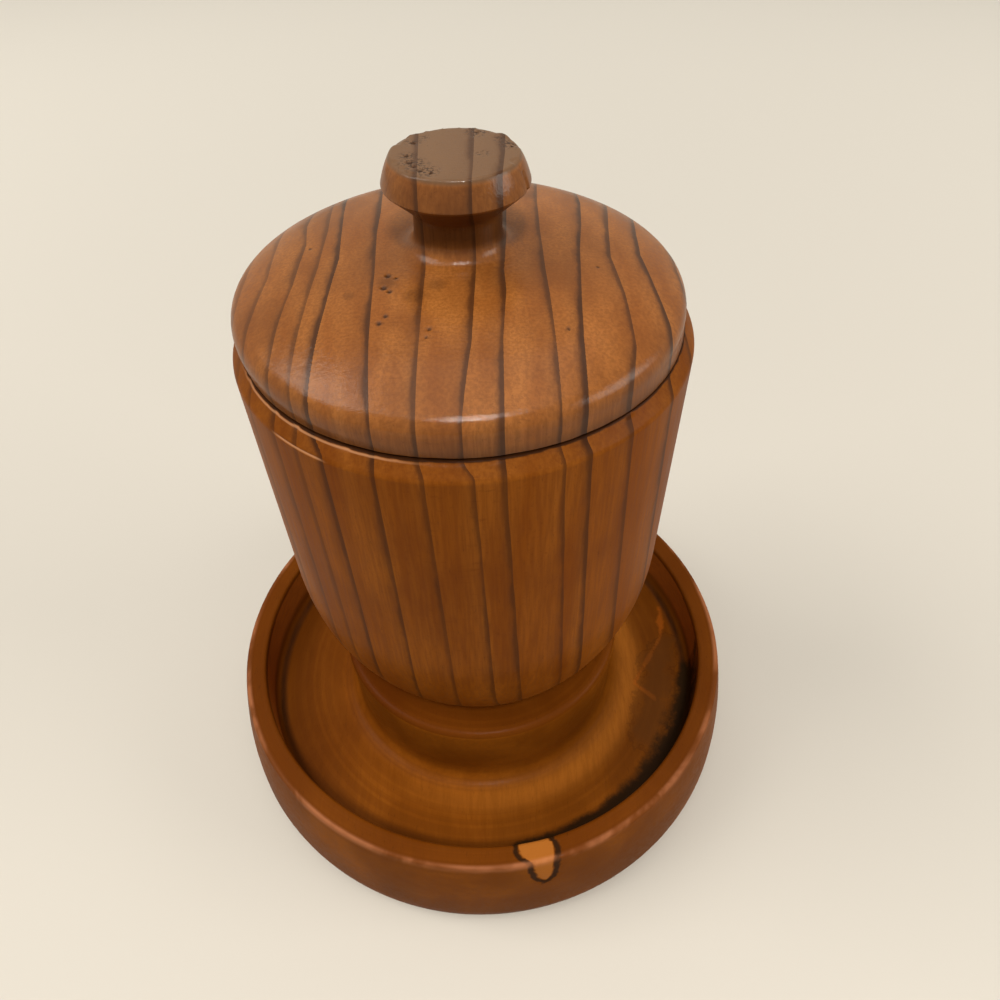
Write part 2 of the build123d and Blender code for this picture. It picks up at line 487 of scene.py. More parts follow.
def lathe(name, outline, segments, uneven):
    """A piece turned from an outline of (radius, height) and made uneven, and its points in mm."""
    closed = hypot(*(outline[0] - outline[-1])) < same_point
    if closed:
        outline = outline[:-1]
    on_axis = outline[:, 0] < same_point
    rings = outline[~on_axis]
    turn = np.arange(segments) * 2 * pi / segments
    x = rings[:, :1] * np.cos(turn)
    y = rings[:, :1] * np.sin(turn)
    z = np.repeat(rings[:, 1:], segments, axis=1)
    points = np.stack([x, y, z], axis=-1).reshape(-1, 3)
    poles = np.array([(0.0, 0.0, height) for height in outline[on_axis, 1]]).reshape(-1, 3)
    points = uneven(np.vstack([points, poles]))
    mesh = bpy.data.meshes.new(name)
    mesh.from_pydata((points * MM).tolist(), [], lathe_faces(len(rings), segments, closed))
    mesh.validate()
    mesh.shade_smooth()
    mesh.set_sharp_from_angle(angle=sharp_angle)
    piece = bpy.data.objects.new(name, mesh)
    bpy.context.scene.collection.objects.link(piece)
    return piece, points


def paint(piece, layers):
    """Stores numbers by name at each point of a piece, for its material to read."""
    for name, values in layers.items():
        layer = piece.data.attributes.new(name, "FLOAT", "POINT")
        layer.data.foreach_set("value", np.asarray(values, np.float32))


def growth(points):
    """For points in mm: the ring each lies in, the ring's width and the nearest line's darkness."""
    x, y, z = points.T
    below = smooth(-z, -mouth_z, -widest_z)
    down = np.clip((lines_front_z - z) / (lines_front_z - lines_foot_z), 0, lines_past_foot)
    places = []
    for _, front_shift, foot_shift, course in growth_lines:
        course_y, course_x = np.array(course, float).T
        place = np.interp(y, course_y, course_x)
        places.append(place + below * (front_shift + foot_shift * down))
    places = np.array(places)
    ring = np.clip((x >= places).sum(axis=0) - 1, 0, len(places) - 2)
    index = np.arange(len(x))
    left, right = places[ring, index], places[ring + 1, index]
    width = np.maximum(right - left, narrowest_ring)
    place = ring + (x - left) / width
    numbers = np.arange(len(growth_lines))
    darkness = np.array([line[0] for line in growth_lines])
    edges = np.stack([numbers - line_reach, numbers + line_reach], axis=1).ravel()
    strength = np.interp(place, edges, np.repeat(darkness, 2))
    return place, width, strength


def growth_layers(points):
    """Layers that place the growth lines on a piece."""
    place, width, strength = growth(points)
    strength = strength * (1 - jar_line_loss * smooth(mouth_z - points[:, 2], 0, jar_line_depth))
    return {"ring": place, "ring_width": width, "line_strength": strength}


class Nodes:
    """Short calls that add nodes to one tree and link them."""

    def __init__(self, tree):
        self.tree = tree
        tree.nodes.clear()

    def put(self, socket, value):
        """Links a socket to another one, or sets its value."""
        if isinstance(value, bpy.types.NodeSocket):
            self.tree.links.new(value, socket)
        else:
            socket.default_value = value

    def add(self, kind, inputs=None, **settings):
        """A node of a kind, with its settings and inputs."""
        node = self.tree.nodes.new(kind)
        for name, value in settings.items():
            setattr(node, name, value)
        for name, value in (inputs or {}).items():
            self.put(node.inputs[name], value)
        return node

    def math(self, operation, *values):
        """The result of one operation on one or two values."""
        node = self.add("ShaderNodeMath", operation=operation)
        for socket, value in zip(node.inputs, values):
            self.put(socket, value)
        return node.outputs[0]

    def total(self, *parts):
        """The sum of (value, weight) parts."""
        values = [self.math("MULTIPLY", value, weight) for value, weight in parts]
        result = values[0]
        for value in values[1:]:
            result = self.math("ADD", result, value)
        return result

    def away_from(self, value, middle):
        """How far a value lies from a middle, above or below it."""
        return self.math("ABSOLUTE", self.math("SUBTRACT", value, middle))

    def reach(self, value, low, high, at_low=0.0, at_high=1.0):
        """A smooth step of value from low to high, between two results."""
        inputs = {0: value, 1: low, 2: high, 3: at_low, 4: at_high}
        node = self.add("ShaderNodeMapRange", inputs, interpolation_type="SMOOTHSTEP")
        return node.outputs[0]

    def mix(self, share, first, second):
        """A mix of two colours."""
        node = self.add("ShaderNodeMix", data_type="RGBA")
        for place, value in ((0, share), (6, first), (7, second)):
            self.put(node.inputs[place], value)
        return node.outputs[2]

    def tint(self, first, second, value, low, high, at_low=0.0, at_high=1.0):
        """The first colour, mixed with the second by a smooth step of value."""
        return self.mix(self.reach(value, low, high, at_low, at_high), first, second)

    def read(self, name):
        """A number painted on the piece."""
        return self.add("ShaderNodeAttribute", attribute_name=name).outputs["Fac"]

    def place(self):
        """Place on the object, in metres."""
        return self.add("ShaderNodeTexCoord").outputs["Object"]

    def noise(self, cycles, detail=2.0, roughness=0.5, distortion=0.0):
        """Noise with so many cycles per millimetre along X, Y and Z."""
        stretch = [value / MM for value in cycles]
        scaled = self.add("ShaderNodeVectorMath", {0: self.place(), 1: stretch}, operation="MULTIPLY")
        inputs = {
            "Vector": scaled.outputs[0],
            "Scale": 1.0,
            "Detail": detail,
            "Roughness": roughness,
            "Distortion": distortion,
        }
        return self.add("ShaderNodeTexNoise", inputs).outputs["Fac"]

    def from_axis(self):
        """Distance from the turning axis, in millimetres."""
        flat = self.add("ShaderNodeVectorMath", {0: self.place(), 1: (1, 1, 0)}, operation="MULTIPLY")
        length = self.add("ShaderNodeVectorMath", {0: flat.outputs[0]}, operation="LENGTH")
        return self.math("DIVIDE", length.outputs["Value"], MM)

    def turning_marks(self, cycles):
        """Fine rings left by the lathe, with so many to the millimetre."""
        inputs = {"W": self.from_axis(), "Scale": cycles, "Detail": 2.0}
        return self.add("ShaderNodeTexNoise", inputs, noise_dimensions="1D").outputs["Fac"]

    def bump(self, height, distance, strength):
        """A normal that follows heights of up to a distance in millimetres."""
        inputs = {"Height": height, "Distance": distance * MM, "Strength": strength}
        return self.add("ShaderNodeBump", inputs).outputs[0]


def new_material(name):
    """A material with an empty node tree, and short calls for that tree."""
    material = bpy.data.materials.new(name)
    material.use_nodes = True
    return material, Nodes(material.node_tree)


def varnished(name, build, tones, coat):
    """A wood material whose colour, roughness and bumps come from build, under a clear coat."""
    material, nodes = new_material(name)
    colour, roughness, wood_normal, coat_normal = build(nodes, tones)
    inputs = {
        "Base Color": colour,
        "Roughness": roughness,
        "Normal": wood_normal,
        "Coat Normal": coat_normal,
    }
    shader = nodes.add("ShaderNodeBsdfPrincipled", inputs)
    shader.inputs["IOR"].default_value = wood_index
    shader.inputs["Specular IOR Level"].default_value = wood_specular
    for socket, value in zip(("Coat Weight", "Coat Roughness", "Coat IOR"), coat):
        shader.inputs[socket].default_value = value
    nodes.add("ShaderNodeOutputMaterial", {"Surface": shader.outputs[0]})
    return material


def growth_marks(nodes):
    """How dark the thin core of each growth line is, and the brown band to the left of it."""
    wobble = nodes.math("SUBTRACT", nodes.noise((0.10, 0.10, 0.035), 2.0), 0.5)
    ragged = nodes.math("SUBTRACT", nodes.noise((1.4, 0.5, 0.35), 3.0, 0.6), 0.5)
    uneven = nodes.noise((0.20, 0.09, 0.06), 3.0, 0.6)
    share = nodes.math("FRACT", nodes.read("ring"))
    to_line = nodes.math("MULTIPLY", nodes.math("SUBTRACT", 1.0, share), nodes.read("ring_width"))
    # On narrow rings the lines keep straighter
    limit = nodes.reach(nodes.read("ring_width"), 0.6, 3.0)
    shift = nodes.math("MULTIPLY", nodes.total((wobble, 0.4), (ragged, 0.35)), limit)
    shifted = nodes.math("ADD", to_line, shift)
    core_width = nodes.reach(uneven, 0.32, 0.68, 0.60, 1.20)
    core = nodes.reach(nodes.math("DIVIDE", shifted, core_width), 0.45, 1.35, 1.0, 0.0)
    core = nodes.math("MULTIPLY", core, nodes.reach(uneven, 0.30, 0.55, 0.55, 0.88))
    band_width = nodes.reach(uneven, 0.30, 0.70, 1.3, 2.8)
    band = nodes.reach(nodes.math("DIVIDE", shifted, band_width), 0.2, 1.3, 0.72, 0.0)
    fade = nodes.math("MULTIPLY", nodes.math("EXPONENT", nodes.math("DIVIDE", to_line, -3.2)), 0.42)
    strength = nodes.read("line_strength")
    core = nodes.math("MULTIPLY", core, strength)
    band = nodes.math("MULTIPLY", nodes.math("MAXIMUM", band, fade), strength)
    return core, band


def jar_wood(nodes, tones):
    """The striped wood of the jar and lid, with its fine grain raised under the varnish."""
    pale, middle, deep = tones
    core, band = growth_marks(nodes)
    fibre = nodes.noise((1.6, 1.6, 0.09), 4.0, 0.6)
    speck = nodes.noise((3.0, 1.6, 0.35), 3.0, 0.65)
    broad = nodes.noise((0.16, 0.05, 0.012), 3.0, 0.55, 0.3)
    cloud = nodes.noise((0.05, 0.05, 0.035), 3.0, 0.6)
    rays = nodes.noise((0.22, 4.5, 1.5), 2.0)
    pits = nodes.reach(nodes.noise((1.5, 1.5, 1.5), 3.0, 0.6), 0.50, 0.57)
    pits = nodes.math("MULTIPLY", pits, nodes.read("pitted"))
    # The ground of the wood
    colour = nodes.tint(middle, pale, broad, 0.30, 0.72)
    colour = nodes.tint(colour, deep, cloud, 0.44, 0.74, 0.0, 0.4)
    colour = nodes.tint(colour, deep, fibre, 0.34, 0.66, 0.42, 0.0)
    colour = nodes.tint(colour, deep, rays, 0.56, 0.78, 0.0, 0.34)
    colour = nodes.mix(nodes.math("MULTIPLY", nodes.read("handled"), 0.85), colour, handled_wood)
    # Marks over it
    colour = nodes.tint(colour, line_brown, speck, 0.60, 0.80, 0.0, 0.55)
    colour = nodes.mix(band, colour, band_brown)
    colour = nodes.mix(core, colour, line_brown)
    colour = nodes.mix(nodes.math("MULTIPLY", pits, 0.8), colour, dark_brown)
    # Dark marks with painted shade: pits, smudges, the gap under the lid and the shade under the knob
    colour = nodes.mix(nodes.read("dark_marks_and_shade"), colour, dark_brown)
    colour = nodes.mix(nodes.read("bare"), colour, bare_wood)
    roughness = nodes.reach(fibre, 0.3, 0.7, smooth_wood, rough_wood)
    grain = nodes.bump(nodes.math("MULTIPLY", nodes.math("ADD", fibre, rays), 0.5), 0.05, 0.6)
    film = nodes.total(
        (nodes.noise((1.1, 1.1, 0.9), 3.0, 0.6), 0.55),
        (speck, 0.45),
        (rays, 0.25),
        (nodes.turning_marks(1.1), 0.25),
        (core, -0.25),
        (pits, -2.5),
    )
    return colour, roughness, grain, nodes.bump(film, 0.09, 1.0)


def stained(nodes, colour):
    """The stains in the moat, with ragged edges; the grey one also paints shade in the right of the moat."""
    edge = nodes.noise((0.20, 0.20, 0.20), 5.0, 0.65)
    ragged = nodes.math("MULTIPLY", nodes.math("SUBTRACT", edge, 0.5), 2.2)
    rust, grey_and_shade, smear = (nodes.math("ADD", nodes.read(name), ragged) for name in ("rust", "grey_and_shade", "smear"))
    colour = nodes.tint(colour, rust_brown, rust, 0.2, 0.9, 0.0, 0.45)
    # A grey patch that also paints shade over the right of the moat, then a dark outline round it
    colour = nodes.tint(colour, grey_brown, grey_and_shade, -0.1, 0.7, 0.0, 0.55)
    colour = nodes.tint(colour, dark_brown, nodes.away_from(grey_and_shade, 0.08), 0.02, 0.16, 0.22, 0.0)
    return nodes.tint(colour, smear_brown, smear, -0.5, 0.6, 0.0, 0.94)


def knotted(nodes, colour):
    """The knot in the rim: orange inside a dark, shaky outline."""
    shake = nodes.math("SUBTRACT", nodes.noise((0.5, 0.5, 0.5), 3.0), 0.5)
    distance = nodes.math("ADD", nodes.read("knot"), nodes.math("MULTIPLY", shake, 1.6))
    colour = nodes.tint(colour, knot_orange, distance, -0.9, -0.2, 0.8, 0.0)
    return nodes.tint(colour, knot_edge_brown, nodes.away_from(distance, 0.5), 0.35, 1.1, 0.9, 0.0)


def dish_wood(nodes, tones):
    """Cloudy brown wood with stains in the moat and a knot in the rim."""
    pale, middle, deep = tones
    cloud = nodes.noise((0.045, 0.03, 0.05), 4.0, 0.6, 0.6)
    broad = nodes.noise((0.03, 0.012, 0.03))
    streak = nodes.noise((0.9, 0.10, 0.9), 4.0, 0.6, 0.2)
    fine = nodes.noise((3.0, 0.5, 3.0), 3.0, 0.6)
    # The ground of the wood, deeper outside the moat
    colour = nodes.tint(middle, pale, cloud, 0.34, 0.68)
    colour = nodes.tint(colour, deep, broad, 0.44, 0.66, 0.0, 0.6)
    inner_edge = rim_inner_radius - 0.6, rim_inner_radius + 0.8
    colour = nodes.tint(colour, deep, nodes.from_axis(), *inner_edge, 0.0, 0.20)
    colour = nodes.tint(colour, deep, nodes.turning_marks(0.45), 0.42, 0.62, 0.30, 0.0)
    # Tones painted in the moat and on the ledge: a painted highlight on the cove, painted shade on the ledge
    # and the left of the moat with a darker rim top, gold on the inner wall, and painted shade at the wall's
    # foot
    colour = nodes.mix(nodes.math("MULTIPLY", nodes.read("cove_highlight"), 0.60), colour, cove_highlight_gold)
    colour = nodes.mix(nodes.read("shade_and_dark_rim"), colour, shade_and_rim_brown)
    colour = nodes.mix(nodes.read("wall"), colour, wall_gold)
    # Painted shade at the foot of the moat's wall, ragged by the clouds
    foot = nodes.math("MULTIPLY", nodes.read("foot"), nodes.reach(cloud, 0.35, 0.6, 0.45, 0.85))
    colour = nodes.mix(foot, colour, dark_brown)
    colour = nodes.tint(colour, deep, streak, 0.35, 0.62, 0.22, 0.0)
    colour = nodes.tint(colour, dark_brown, fine, 0.58, 0.80, 0.0, 0.45)
    colour = knotted(nodes, stained(nodes, colour))
    # Paler rubbed outer edge of the rim, partly a painted highlight
    rubbed = nodes.math("MULTIPLY", nodes.read("edge_wear_and_highlight"), nodes.reach(cloud, 0.42, 0.60, 0.15, 1.0))
    colour = nodes.mix(rubbed, colour, rubbed_highlight_wood)
    roughness = nodes.reach(streak, 0.3, 0.7, smooth_wood, rough_wood)
    film = nodes.total(
        (nodes.noise((0.8, 0.8, 0.8), 3.0, 0.6), 1.0),
        (nodes.turning_marks(1.3), 0.6),
        (streak, 0.4),
    )
    return colour, roughness, nodes.bump(streak, 0.06, 0.6), nodes.bump(film, 0.08, 0.9)


def screw_steel():
    """Plain steel, dulled in patches."""
    material, nodes = new_material("screw_steel")
    patch = nodes.noise((0.6, 0.6, 0.6), 4.0, 0.6)
    inputs = {
        "Base Color": nodes.mix(patch, dull_steel, bright_steel),
        "Roughness": nodes.reach(patch, 0.3, 0.7, 0.28, 0.5),
        "Normal": nodes.bump(nodes.noise((4.0, 4.0, 4.0)), 0.02, 0.5),
    }
    shader = nodes.add("ShaderNodeBsdfPrincipled", inputs)
    shader.inputs["Metallic"].default_value = 1.0
    nodes.add("ShaderNodeOutputMaterial", {"Surface": shader.outputs[0]})
    return material


def spots(points, places):
    """How deep points lie in round spots (X, Y, radius, depth), seen from above."""
    depth = np.zeros(len(points))
    for x, y, radius, amount in places:
        away = np.hypot(points[:, 0] - x, points[:, 1] - y) / radius
        depth = np.maximum(depth, amount * (1 - smooth(away, 0.35, 1.15)))
    return depth


def course_depth(points, course):
    """1 along the middle of a course of (X, Y, half width), 0 at its edge and -1 far away."""
    nearest = np.full(len(points), -1.0)
    place = points[:, :2]
    for (x, y, half), (next_x, next_y, next_half) in zip(course, course[1:]):
        start, way = np.array([x, y], float), np.array([next_x - x, next_y - y], float)
        share = np.clip((place - start) @ way / (way @ way), 0, 1)
        away = np.hypot(*(place - start - share[:, None] * way).T)
        nearest = np.maximum(nearest, 1 - away / (half + (next_half - half) * share))
    return nearest


def lid_outline():
    """Half section of the lid and knob, from the hollow's crown round to the knob's top."""
    section = Section(0, lid_hollow_crown)
    section.to(lid_hollow_radius, lid_hollow_spring, bow=-lid_hollow_bow, spacing=1.2)
    section.to(lid_hollow_radius, spigot_end_z, spacing=1.0)
    section.to(spigot_radius - spigot_corner, spigot_end_z, spacing=1.0)
    section.to(spigot_radius, spigot_end_z + spigot_corner)
    section.to(spigot_radius, mouth_z, spacing=1.0)
    section.to(lid_seat_radius, lid_seat_z, spacing=0.4)
    section.to(lid_radius, lid_foot_z, spacing=0.2)
    section.to(lid_edge_radius, lid_edge_z, corner=lid_shoulder, spacing=0.35)
    section.to(dome_turn_radius, dome_turn_z, corner=dome_turn_round, bow=dome_side_bow, spacing=0.35)
    section.to(neck_radius, neck_low_z, corner=neck_cove, bow=dome_top_bow, spacing=0.35)
    section.to(neck_radius, neck_high_z, corner=knob_low_cove, spacing=0.35)
    section.to(belt_radius, belt_z, corner=belt_round, spacing=0.35)
    section.to(knob_top_radius, top_z, corner=knob_top_round, bow=knob_side_bow, spacing=0.25)
    section.to(0, top_z, spacing=0.3)
    return section.points()


def bowl_arc(wall, z_start, z_end, spacing):
    """Points of the jar's bowl: an arc that is upright at the bowl's top, inset by a wall."""
    reach = jar_side_radius - jar_foot_radius
    bowl_radius = (reach**2 + (bowl_top_z - seat_z) ** 2) / (2 * reach)
    z = np.linspace(z_start, z_end, ceil(abs(z_end - z_start) / spacing) + 1)
    across = np.sqrt((bowl_radius - wall) ** 2 - (bowl_top_z - z) ** 2)
    return np.stack([jar_side_radius - bowl_radius + across, z], axis=1)


def jar_outline():
    """Half section of the jar, from the middle of its floor over the mouth to the tenon."""
    inside = bowl_arc(jar_wall, jar_floor_z, bowl_top_z, 1.5)
    outside = bowl_arc(0, bowl_top_z, seat_z, 0.6)
    section = Section(0, jar_floor_z)
    section.to(*inside[0], corner=jar_floor_corner, spacing=2.0)
    section.along(inside)
    section.to(mouth_radius, mouth_z, spacing=2.0)
    section.to(mouth_outer_radius, mouth_z, corner=mouth_edge_round, spacing=0.5)
    section.to(jar_radius, widest_z, corner=widest_round, spacing=0.15)
    section.to(side_top_radius, side_top_z, spacing=0.15)
    section.to(*outside[0])
    section.along(outside, corner=jar_foot_round)
    section.to(tenon_radius, seat_z, spacing=1.0)
    section.to(tenon_radius, tenon_end_z, spacing=1.5)
    section.to(pilot_radius, tenon_end_z, spacing=2.0)
    section.to(pilot_radius, pilot_end_z, spacing=2.0)
    section.to(0, pilot_end_z, spacing=1.0)
    return section.points()


def dish_outline():
    """Whole section of the dish, as a closed loop round its wood."""
    section = Section(screw_head_radius, underside_depth)
    section.to(underside_radius, underside_depth, spacing=2.0)
    section.to(underside_radius, 0, spacing=1.0)
    section.to(foot_radius, 0, corner=foot_round, spacing=1.5)
    section.to(dish_radius, belly_height, corner=belly_round, bow=foot_bow)
    section.to(rim_outer_radius, dish_height, corner=rim_round, bow=side_bow)
    section.to(rim_inner_radius, dish_height, corner=rim_round, spacing=0.4)
    section.to(rim_inner_radius, moat_z, corner=moat_corner, spacing=0.5)
    section.to(pedestal_foot_radius, moat_z, corner=pedestal_cove)
    section.to(pedestal_radius, seat_z, corner=pedestal_round)
    section.to(socket_radius, seat_z, spacing=1.0)
    section.to(socket_radius, socket_z, spacing=1.5)
    section.to(screw_hole_radius, socket_z, spacing=2.0)
    section.to(screw_hole_radius, countersink_top_z, spacing=2.0)
    section.to(screw_head_radius, screw_head_z + screw_head_rim, spacing=1.0)
    section.to(screw_head_radius, underside_depth, spacing=1.0)
    return section.points()


def knob_worn(points):
    """Depth of the wear on the knob's top and at its edge."""
    radius, angle = polar(points)
    depth = spots(points, knob_pits)
    for degrees, length, width, amount in knob_wear:
        off = np.angle(np.exp(1j * (angle - radians(degrees)))) * knob_top_radius
        ragged = 1 + waves(angle, [(23, degrees, 0.16), (41, 2 * degrees, 0.12)])
        along = np.abs(off) / length
        inward = (knob_top_radius - radius) / (width * ragged)
        inward = np.where(inward < 0, -inward * 0.8, inward)
        depth = np.maximum(depth, amount * (1 - smooth(np.hypot(along, inward), 0.45, 1.0)))
    return depth * smooth(points[:, 2], top_z - 2.6, top_z - 0.8)


def belt_notch(points):
    """1 in the notch in the knob's widest edge, and 0 away from it."""
    radius, angle = polar(points)
    z = points[:, 2]
    beside = smooth(np.abs(angle - notch_angle) * belt_radius, notch_half * 0.4, notch_half)
    on_belt = (z > neck_high_z - 0.1) * smooth(radius, knob_top_radius - 1, belt_radius) * (z < top_z - 2)
    return (1 - beside) * on_belt


def seam_height(points):
    """How far the lid's edge stands off the mouth."""
    radius, angle = polar(points)
    z = points[:, 2]
    gap = seam_gap + waves(angle, seam_waves)
    gap += seam_lift * np.exp(-((angle - seam_lift_angle) / seam_lift_spread) ** 2)
    edge = smooth(radius, lid_radius - 2.2, lid_radius - 0.6) * (1 - smooth(z, mouth_z + 0.4, seam_top_z))
    return gap * edge * (z > mouth_z - 0.01)


def on_dome(z):
    """Whether heights are on the lid's outside below the neck."""
    return (z < neck_low_z) & (z > lid_edge_z - 2)


def uneven_lid(even):
    """The hand-turned lid: slightly off its axis, with pits, a worn knob and a lifted edge."""
    radius, angle = polar(even)
    z = even[:, 2]
    outside = (z > mouth_z - 0.01) & ((radius > lid_radius - 4) | (z > lid_hollow_crown + 1.5))
    outside |= (z > mouth_z + 5) & (radius > lid_hollow_radius)
    points = moved_out(even, waves(angle, lid_wobble) * outside * smooth(radius, 4, 14))
    dome = smooth(z, mouth_z, mouth_z + 4) * (1 - smooth(z, neck_low_z - 3, neck_low_z + 2))
    knob = smooth(z, neck_low_z, neck_high_z + 2)
    points[:, 0] += (lid_off_axis * dome + knob_off_axis * knob) * outside
    points[:, 2] -= spots(points, lid_pits) * (outside & on_dome(z))
    points[:, 2] -= knob_worn(points)
    points = moved_out(points, -notch_depth * belt_notch(even))
    points[:, 2] += seam_height(even)
    return points


def scratch(points):
    """1 in the scratch on the jar's widest edge, at the left front, and 0 away from it."""
    x, y, z = points.T
    along = 1 - smooth(np.abs(x - scratch_x), 3.5, 6.0)
    return along * (1 - smooth(np.abs(z - scratch_z), 0.12, 0.34)) * (y < 0)


def uneven_jar(even):
    """The jar: slightly out of round, with a scratch, and nicks in its edge under the lid."""
    radius, angle = polar(even)
    z = even[:, 2]
    outside = smooth(radius, 20, 30) * (z > seat_z + 0.5)
    points = moved_out(even, waves(angle, jar_wobble) * outside)
    points = moved_out(points, -scratch_depth * scratch(points))
    rim = (1 - smooth(mouth_z - z, 0.2, 0.9)) * (radius > mouth_outer_radius - 2)
    nicks = rim * np.maximum(0, waves(angle, mouth_nicks))
    points[:, 2] -= nicks
    return moved_out(points, -nick_depth * nicks * (radius > mouth_outer_radius - 0.8))


def knot_distance(points):
    """Signed distance to the knot's outline, in mm; negative is inside it."""
    radius, angle = polar(points)
    below_rim = dish_height - points[:, 2]
    over = (radius - rim_inner_radius) + np.maximum(0, below_rim) * (radius > rim_outer_radius - 2)
    inner = radius < rim_inner_radius + 1.2
    over = np.where(inner, np.minimum(radius - rim_inner_radius, 0) - below_rim, over)
    distances, left_sides, right_sides = np.array(knot_sides).T
    across = (angle - knot_angle) * rim_outer_radius
    left = np.interp(over, distances, left_sides)
    right = np.interp(over, distances, right_sides)
    distance = np.maximum(np.maximum(left - across, across - right), over - distances[-1])
    elsewhere = (points[:, 1] > 0) | (radius < rim_inner_radius - 2)
    return np.where(elsewhere, far_from_knot, distance)


def uneven_dish(even):
    """The dish: out of round by a little, with a wavy rim and a groove round the knot."""
    radius, angle = polar(even)
    z = even[:, 2]
    outer = smooth(radius, 55, 68) * smooth(z, 1.0, 6.0)
    points = moved_out(even, waves(angle, dish_wobble) * outer)
    points[:, 2] += smooth(z, 24, 30) * smooth(radius, 60, 68) * waves(angle, rim_waves)
    groove = 1 - smooth(np.abs(knot_distance(points)), 0.2, 1.0)
    groove = groove * smooth(z, 8, 12) * (radius > rim_inner_radius - 1)
    points = moved_out(points, -knot_groove_side * groove * (radius > rim_outer_radius - 0.5))
    points[:, 2] -= knot_groove_top * groove * smooth(z, 29.5, 30.5)
    return points


def lid_dark_marks_and_shade(points):
    """How dark the lid is with pits and smudges, darker near the gap, painted shade in the gap and under the
    knob, and a darker knob side.
    """
    radius, _ = polar(points)
    z = points[:, 2]
    top = on_dome(z)
    pits = spots(points, [(x, y, size * 1.15, 0.9) for x, y, size, _ in lid_pits]) * top
    smudges = spots(points, lid_smudges) * top * 0.6
    knob_marks = np.clip(spots(points, knob_pits) * (z > top_z - 1.2) * 3.2, 0, 0.9)
    near_gap = (radius > spigot_radius + 1) * (1 - smooth(z, mouth_z + 0.4, seam_top_z))
    # Painted shade in the gap under the lid and under the knob
    gap_shade = (radius > spigot_radius - 1) * (1 - smooth(z, mouth_z + 0.30, mouth_z + 0.55))
    under_knob_shade = smooth(z, neck_low_z + 1.5, neck_low_z + 4) * (1 - smooth(z, belt_z - 0.8, belt_z - 0.1))
    knob_side = smooth(z, belt_z - 0.5, belt_z) * (1 - smooth(z, top_z - 1.4, top_z - 0.8))
    layers = [pits, smudges, knob_marks, 0.42 * near_gap, gap_shade, 0.55 * under_knob_shade, 0.25 * knob_side]
    return np.maximum.reduce(layers)


def finish_piece(piece, body, node, material):
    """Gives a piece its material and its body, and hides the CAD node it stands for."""
    piece.data.materials.append(material)
    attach(piece, body)
    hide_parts(node)


def turned_lid():
    """Lid and knob, in one piece."""
    piece, points = lathe("turned_lid", lid_outline(), lid_segments, uneven_lid)
    z = points[:, 2]
    layers = growth_layers(points)
    # Pits and smudges, with painted shade at the gap and under the knob
    layers["dark_marks_and_shade"] = lid_dark_marks_and_shade(points)
    layers["handled"] = smooth(z, top_z - 1.2, top_z - 0.3)
    layers["pitted"] = spots(points, pitted_patches) * smooth(z, top_z - 1.6, top_z - 0.9)
    layers["bare"] = np.zeros(len(points))
    paint(piece, layers)
    material = varnished("lid_varnish", jar_wood, lid_tones, lid_coat)
    finish_piece(piece, "lid", "lid", material)


def turned_jar():
    """The hollow jar, darker on its bevel, with painted shade at its mouth under the lid, and paler where
    its edge is scratched or rubbed.
    """
    piece, points = lathe("turned_jar", jar_outline(), jar_segments, uneven_jar)
    radius, angle = polar(points)
    z = points[:, 2]
    bevel = smooth(z, widest_z - 0.6, widest_z + 0.6)
    mouth_shade = smooth(z, mouth_z - 0.35, mouth_z - 0.15)
    rubbed = 1 - smooth(np.abs(z - (mouth_z - 0.45)), 0.06, 0.22)
    rubbed *= (radius > mouth_radius + 2) * smooth(-np.abs(angle + radians(128)), -0.60, -0.30)
    layers = growth_layers(points)
    # A darker bevel, and painted shade at the mouth where the gap under the lid shows
    layers["dark_marks_and_shade"] = np.maximum(0.22 * bevel, 0.95 * mouth_shade)
    layers["bare"] = np.maximum(0.8 * scratch(points), 0.55 * rubbed)
    layers["handled"] = np.zeros(len(points))
    layers["pitted"] = np.zeros(len(points))
    paint(piece, layers)
    material = varnished("jar_varnish", jar_wood, jar_tones, jar_coat)
    finish_piece(piece, "jar", "jar_body", material)


